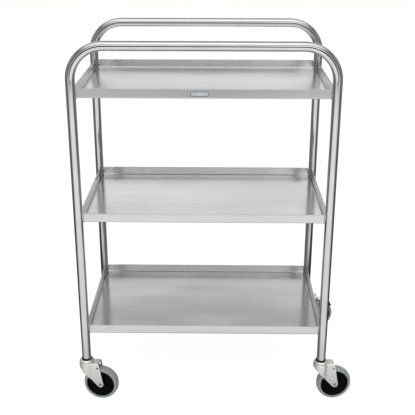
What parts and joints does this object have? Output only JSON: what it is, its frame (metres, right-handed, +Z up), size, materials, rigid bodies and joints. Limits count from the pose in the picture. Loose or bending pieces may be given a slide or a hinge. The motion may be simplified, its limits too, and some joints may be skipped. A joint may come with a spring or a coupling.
{
  "type": "utility cart",
  "caption": "Stainless steel utility cart: tray shelves with turned-up rims between bent tube frames whose tops are push rails, on swivel casters.",
  "frame": {"origin": "on the floor, midway between the four legs", "axes": "+X to the right along the shelves, +Y to the rear, +Z up"},
  "size_m": [0.7944, 0.4741, 1.0435],
  "materials": {
    "tube_steel": "polished stainless tube with a fine lengthwise grain",
    "shelf_steel": "brushed stainless sheet, semi-gloss",
    "weld_steel": "cleaned weld bead",
    "plate_enamel": "blank plate, blue-grey enamel with a bright border",
    "zinc_plate": "bright zinc-plated pressed steel",
    "bolt_steel": "zinc-plated steel",
    "sleeve_rubber": "black rubber",
    "bushing_nylon": "natural nylon",
    "core_plastic": "black moulded plastic",
    "tread_rubber": "grey rubber, satin",
    "shoe_rubber": "black friction rubber",
    "tip_plastic": "black moulded foot tip"
  },
  "bodies": {
    "cart": {"front_frame": "tube_steel", "rear_frame": "tube_steel", "bottom_shelf": "shelf_steel", "middle_shelf": "shelf_steel", "top_shelf": "shelf_steel", "shelf_welds": "weld_steel", "name_plate": "plate_enamel", "front_left_stem_sleeve": "sleeve_rubber", "front_left_stem": "bolt_steel", "front_left_stem_nut": "bolt_steel", "front_left_race_cap": "zinc_plate", "front_left_race_balls": "bolt_steel", "front_right_stem_sleeve": "sleeve_rubber", "front_right_stem": "bolt_steel", "front_right_stem_nut": "bolt_steel", "front_right_race_cap": "zinc_plate", "front_right_race_balls": "bolt_steel", "rear_left_stem_sleeve": "sleeve_rubber", "rear_left_stem": "bolt_steel", "rear_left_stem_nut": "bolt_steel", "rear_left_race_cap": "zinc_plate", "rear_left_race_balls": "bolt_steel", "rear_right_stem_sleeve": "sleeve_rubber", "rear_right_stem": "bolt_steel", "rear_right_stem_nut": "bolt_steel", "rear_right_race_cap": "zinc_plate", "rear_right_race_balls": "bolt_steel"},
    "front_left_swivel": {"front_left_fork": "zinc_plate", "front_left_axle": "bolt_steel", "front_left_axle_nut": "bolt_steel", "front_left_hub_bushing": "bushing_nylon"},
    "front_left_wheel": {"front_left_wheel_core": "core_plastic", "front_left_tread": "tread_rubber"},
    "front_right_swivel": {"front_right_fork": "zinc_plate", "front_right_axle": "bolt_steel", "front_right_axle_nut": "bolt_steel", "front_right_hub_bushing": "bushing_nylon"},
    "front_right_wheel": {"front_right_wheel_core": "core_plastic", "front_right_tread": "tread_rubber"},
    "rear_left_swivel": {"rear_left_fork": "zinc_plate", "rear_left_axle": "bolt_steel", "rear_left_axle_nut": "bolt_steel", "rear_left_hub_bushing": "bushing_nylon", "rear_left_brake_pin": "bolt_steel"},
    "rear_left_wheel": {"rear_left_wheel_core": "core_plastic", "rear_left_tread": "tread_rubber"},
    "rear_left_brake": {"rear_left_brake_lever": "zinc_plate", "rear_left_brake_shoe": "shoe_rubber", "rear_left_brake_tip": "tip_plastic"},
    "rear_right_swivel": {"rear_right_fork": "zinc_plate", "rear_right_axle": "bolt_steel", "rear_right_axle_nut": "bolt_steel", "rear_right_hub_bushing": "bushing_nylon", "rear_right_brake_pin": "bolt_steel"},
    "rear_right_wheel": {"rear_right_wheel_core": "core_plastic", "rear_right_tread": "tread_rubber"},
    "rear_right_brake": {"rear_right_brake_lever": "zinc_plate", "rear_right_brake_shoe": "shoe_rubber", "rear_right_brake_tip": "tip_plastic"}
  },
  "joints": [
    {"name": "front_left_caster_swivel", "type": "hinge", "parent": "cart", "child": "front_left_swivel", "pos_m": [-0.3405, -0.2113, 0.1185], "axis": [0, 0, 1], "continuous": true},
    {"name": "front_left_wheel_spin", "type": "hinge", "parent": "front_left_swivel", "child": "front_left_wheel", "pos_m": [-0.29988, -0.21686, 0.0508], "axis": [0.1357, 0.9907, 0], "continuous": true},
    {"name": "front_right_caster_swivel", "type": "hinge", "parent": "cart", "child": "front_right_swivel", "pos_m": [0.3405, -0.2113, 0.1185], "axis": [0, 0, 1], "continuous": true},
    {"name": "front_right_wheel_spin", "type": "hinge", "parent": "front_right_swivel", "child": "front_right_wheel", "pos_m": [0.38108, -0.20545, 0.0508], "axis": [-0.1426, 0.9898, 0], "continuous": true},
    {"name": "rear_left_caster_swivel", "type": "hinge", "parent": "cart", "child": "rear_left_swivel", "pos_m": [-0.3405, 0.2113, 0.1185], "axis": [0, 0, 1], "continuous": true},
    {"name": "rear_left_wheel_spin", "type": "hinge", "parent": "rear_left_swivel", "child": "rear_left_wheel", "pos_m": [-0.2996, 0.20844, 0.0508], "axis": [0.0698, 0.9976, 0], "continuous": true},
    {"name": "rear_left_brake_lever", "type": "hinge", "parent": "rear_left_swivel", "child": "rear_left_brake", "pos_m": [-0.30638, 0.20891, 0.10555], "axis": [0.0698, 0.9976, 0], "range_deg": [-22, 0]},
    {"name": "rear_right_caster_swivel", "type": "hinge", "parent": "cart", "child": "rear_right_swivel", "pos_m": [0.3405, 0.2113, 0.1185], "axis": [0, 0, 1], "continuous": true},
    {"name": "rear_right_wheel_spin", "type": "hinge", "parent": "rear_right_swivel", "child": "rear_right_wheel", "pos_m": [0.38128, 0.21559, 0.0508], "axis": [-0.1045, 0.9945, 0], "continuous": true},
    {"name": "rear_right_brake_lever", "type": "hinge", "parent": "rear_right_swivel", "child": "rear_right_brake", "pos_m": [0.37451, 0.21487, 0.10555], "axis": [-0.1045, 0.9945, 0], "range_deg": [-22, 0]}
  ]
}
